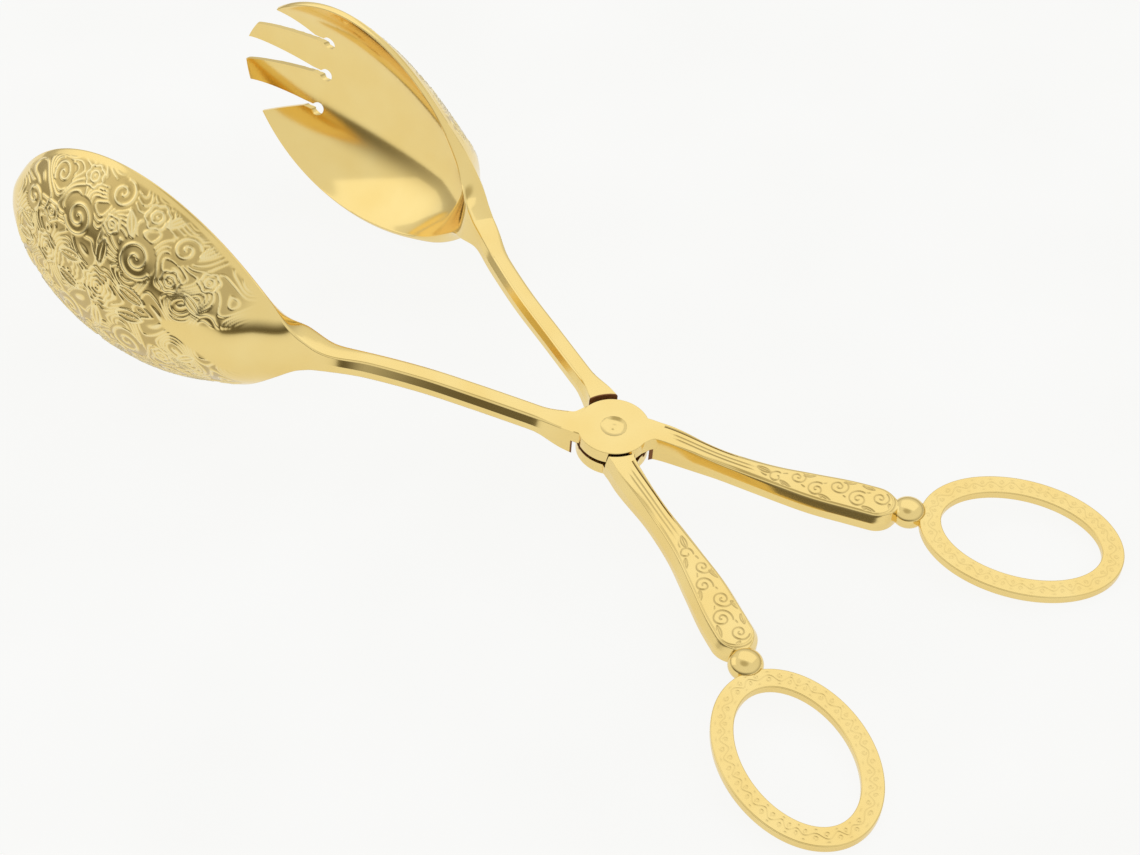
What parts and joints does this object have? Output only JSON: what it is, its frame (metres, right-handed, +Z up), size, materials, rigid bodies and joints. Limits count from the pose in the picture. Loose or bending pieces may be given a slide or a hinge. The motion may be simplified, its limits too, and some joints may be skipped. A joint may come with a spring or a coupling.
{
  "type": "barbecue tongs",
  "caption": "Scissor-action serving tongs: oval spoon jaw and slotted fork jaw on slim crossed arms, half-lap riveted pivot, tapered handles with beads and oval finger rings.",
  "frame": {"origin": "centre of the footprint on the table, under the bowls' and finger rings' resting places", "axes": "+X runs from the jaws to the finger rings, +Z is up, +Y lies on the side of the fork bowl"},
  "size_m": [0.2632, 0.1166, 0.0531],
  "materials": {
    "spoon_gold": "polished gold plate over cast metal, embossed bowl back",
    "fork_gold": "polished gold plate over cast metal, smooth bowl inside",
    "rivet_gold": "polished gold plate",
    "lap_washer_metal": "dark unplated brass",
    "tail_washer_metal": "dark unplated brass"
  },
  "bodies": {
    "spoon_side": {"spoon_arm": "spoon_gold", "pivot_rivet": "rivet_gold", "lap_washer": "lap_washer_metal", "tail_washer": "tail_washer_metal"},
    "fork_side": {"fork_arm": "fork_gold"}
  },
  "joints": [
    {"name": "pivot", "type": "hinge", "parent": "spoon_side", "child": "fork_side", "pos_m": [0.02524, 0, 0.01418], "axis": [0.1232, 0, 0.9924], "range_deg": [-62, 26]}
  ]
}
